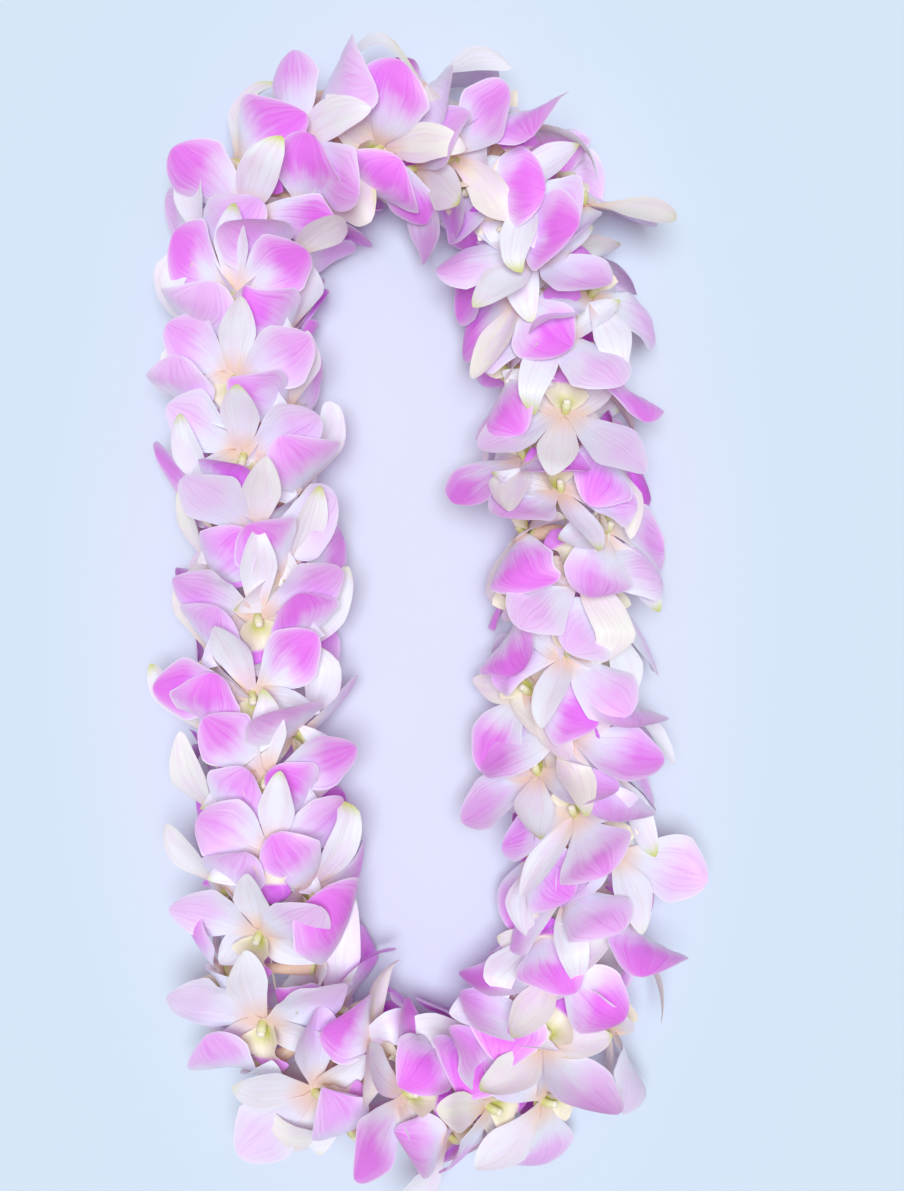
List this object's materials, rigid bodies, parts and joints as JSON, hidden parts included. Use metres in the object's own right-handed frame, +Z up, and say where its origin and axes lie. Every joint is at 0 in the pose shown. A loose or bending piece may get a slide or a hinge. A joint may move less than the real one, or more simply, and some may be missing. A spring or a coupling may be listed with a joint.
{
  "type": "fresh flower lei",
  "caption": "Fresh orchid lei lying flat in a long oval: pink and white dendrobium blossoms strung thickly round a closed cotton thread tied in a knot.",
  "frame": {"origin": "middle of the lei's outline, on the surface that it lies on", "axes": "+Y along the oval's long way, +X across it to the right, +Z up off the surface"},
  "size_m": [0.2284, 0.4928, 0.0795],
  "materials": {
    "petals": "soft satin, white at the throat to lavender pink at the tips",
    "thread": "twisted cotton"
  },
  "bodies": {
    "root": {"blossom_pair_01": "petals", "blossom_pair_02": "petals", "blossom_pair_03": "petals", "blossom_pair_04": "petals", "blossom_pair_05": "petals", "blossom_pair_06": "petals", "blossom_pair_07": "petals", "blossom_pair_08": "petals", "blossom_pair_09": "petals", "blossom_pair_10": "petals", "blossom_pair_11": "petals", "blossom_pair_12": "petals", "blossom_pair_13": "petals", "blossom_pair_14": "petals", "blossom_pair_15": "petals", "blossom_pair_16": "petals", "blossom_pair_17": "petals", "blossom_pair_18": "petals", "blossom_pair_19": "petals", "blossom_pair_20": "petals", "blossom_pair_21": "petals", "blossom_pair_22": "petals", "blossom_pair_23": "petals", "blossom_pair_24": "petals", "blossom_pair_25": "petals", "blossom_pair_26": "petals", "blossom_pair_27": "petals", "blossom_pair_28": "petals", "blossom_pair_29": "petals", "blossom_pair_30": "petals", "blossom_pair_31": "petals", "blossom_pair_32": "petals", "blossom_pair_33": "petals", "blossom_pair_34": "petals", "blossom_pair_35": "petals", "blossom_pair_36": "petals", "blossom_pair_37": "petals", "blossom_pair_38": "petals", "blossom_pair_39": "petals", "blossom_pair_40": "petals", "blossom_pair_41": "petals", "blossom_pair_42": "petals", "blossom_pair_43": "petals", "blossom_pair_44": "petals", "blossom_pair_45": "petals", "blossom_pair_46": "petals", "blossom_pair_47": "petals", "blossom_pair_48": "petals", "blossom_pair_49": "petals", "blossom_pair_50": "petals", "blossom_pair_51": "petals", "blossom_pair_52": "petals", "blossom_pair_53": "petals", "blossom_pair_54": "petals", "blossom_pair_55": "petals", "blossom_pair_56": "petals", "blossom_pair_57": "petals", "blossom_pair_58": "petals", "thread": "thread", "knot": "thread"}
  },
  "joints": []
}
